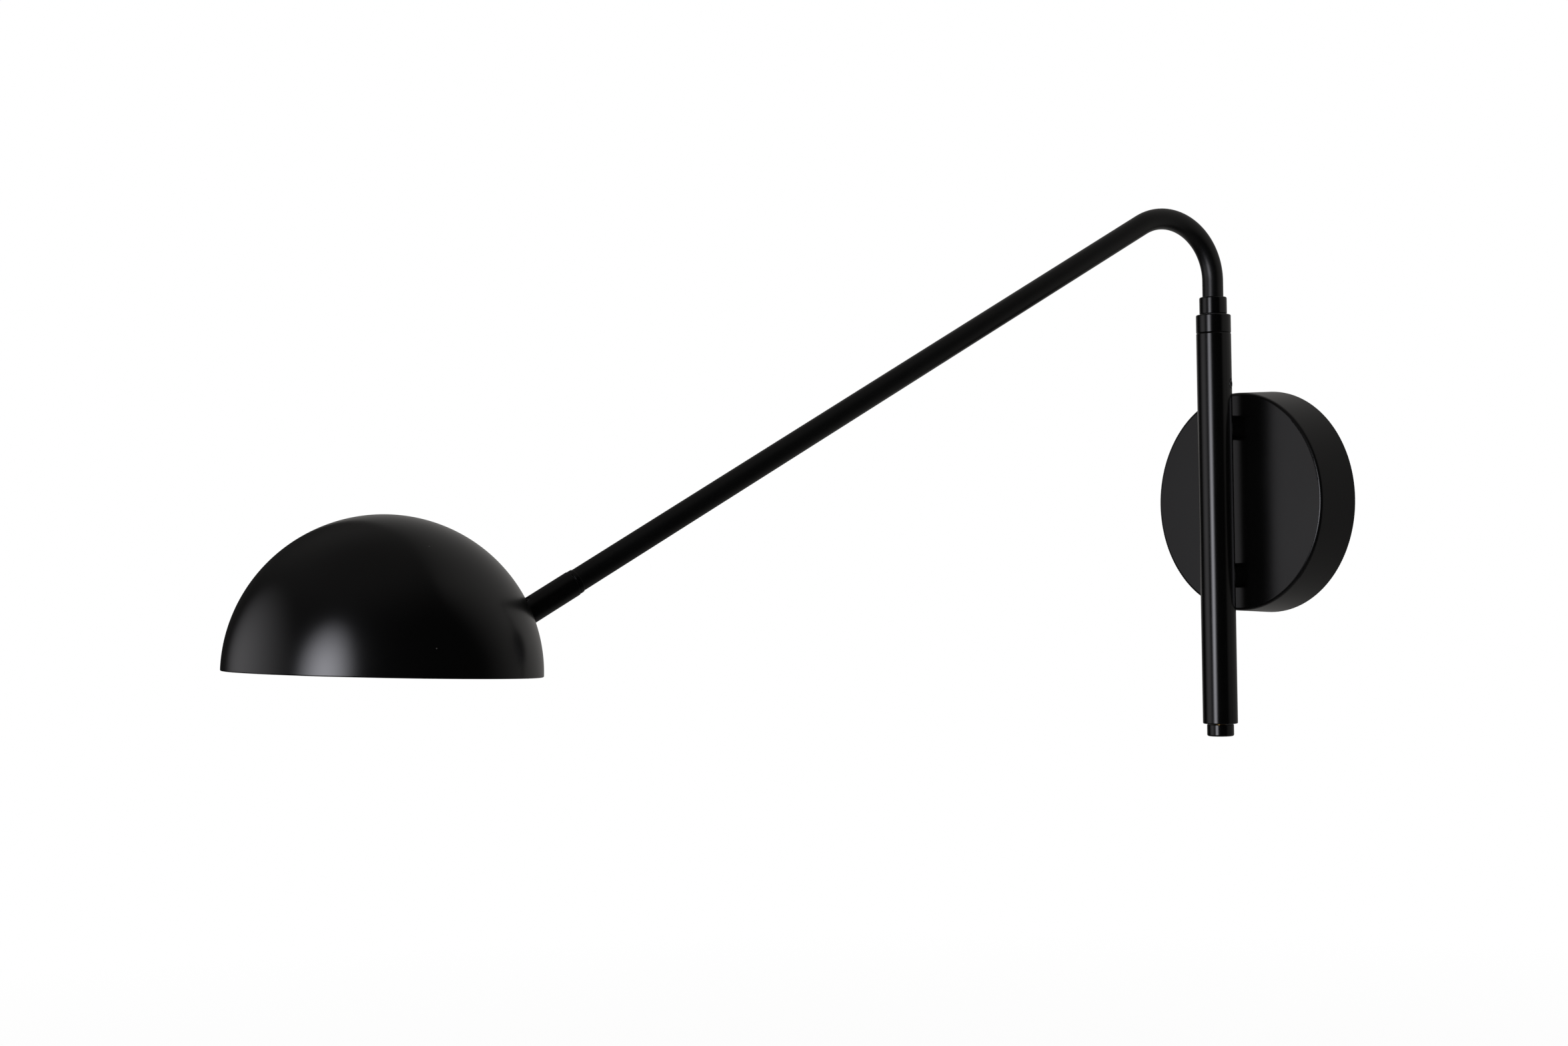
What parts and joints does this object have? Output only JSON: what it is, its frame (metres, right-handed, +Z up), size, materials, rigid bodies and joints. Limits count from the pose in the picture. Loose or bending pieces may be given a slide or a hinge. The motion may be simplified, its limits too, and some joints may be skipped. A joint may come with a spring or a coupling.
{
  "type": "swing-arm wall lamp",
  "caption": "Wall lamp with a round canopy, an upright post, a bent swinging arm and a half-round metal shade that hangs below the arm's high bend.",
  "frame": {"origin": "centre of the canopy on the wall plane, which is the middle of the bracket's slot pattern", "axes": "+Z up along the post, +Y into the wall along the screws, +X to the right for someone facing the wall"},
  "size_m": [0.2071, 0.6207, 0.3036],
  "materials": {
    "black_canopy": "satin black powder coat on drawn steel",
    "black_post": "satin black powder coat on steel tube",
    "black_arm": "satin black powder coat on bent steel tube",
    "black_fittings": "satin black coat on turned metal",
    "shade_enamel": "satin black outside, white inside, on spun steel",
    "black_oxide": "blackened steel screw",
    "zinc_steel": "zinc plated",
    "turned_steel": "turned",
    "turned_brass": "turned",
    "green_screw": "green earthing screw",
    "white_nylon": "moulded",
    "black_nylon": "moulded",
    "lead_sheath": "extruded sheath",
    "holder_ceramic": "unglazed",
    "bulb_ceramic": "unglazed",
    "frosted_glass": "frosted"
  },
  "bodies": {
    "wall_mount": {"mounting_bracket": "zinc_steel", "ground_screw": "green_screw", "terminal_block": "white_nylon", "terminal_screw": "zinc_steel", "canopy": "black_canopy", "canopy_screws": "black_oxide", "standoff_upper": "black_fittings", "standoff_lower": "black_fittings", "standoff_nipples": "zinc_steel", "tooth_washers": "zinc_steel", "standoff_nuts": "zinc_steel", "post_tube": "black_post", "post_bush": "black_fittings", "post_set_screw": "black_oxide", "thrust_washer": "black_nylon", "end_plug": "black_fittings", "switch_case": "black_nylon", "switch_nut": "zinc_steel", "feed_lead": "lead_sheath", "post_lead": "lead_sheath"},
    "knob": {"switch_knob": "black_fittings", "switch_shaft": "turned_brass"},
    "arm": {"arm_tube": "black_arm", "arm_ferrule": "black_fittings", "arm_spindle": "turned_steel", "stop_pin": "turned_steel", "spring_washer": "turned_steel", "retaining_clip": "black_oxide", "swivel_stem": "black_fittings", "arm_lead": "lead_sheath"},
    "shade": {"shade_sleeve": "black_fittings", "sleeve_set_screw": "black_oxide", "dome_shade": "shade_enamel", "saddle_washer": "turned_brass", "tail_nut": "turned_brass", "tail_grommet": "black_nylon", "holder_strip": "zinc_steel", "lamp_holder": "holder_ceramic", "holder_screws": "zinc_steel", "bulb_base": "bulb_ceramic", "bulb_glass": "frosted_glass", "shade_lead": "lead_sheath"}
  },
  "joints": [
    {"name": "arm_swing", "type": "hinge", "parent": "wall_mount", "child": "arm", "pos_m": [0, -0.0442, 0.10881], "axis": [0, 0, 1], "range_deg": [-72.5, 87.5]},
    {"name": "shade_turn", "type": "hinge", "parent": "arm", "child": "shade", "pos_m": [-0.0527, -0.44446, -0.04038], "axis": [-0.1138, -0.8646, -0.4894], "range_deg": [-90, 90]},
    {"name": "switch_turn", "type": "hinge", "parent": "wall_mount", "child": "knob", "pos_m": [0, -0.0442, -0.1289], "axis": [0, 0, 1], "range_deg": [0, 270]}
  ]
}
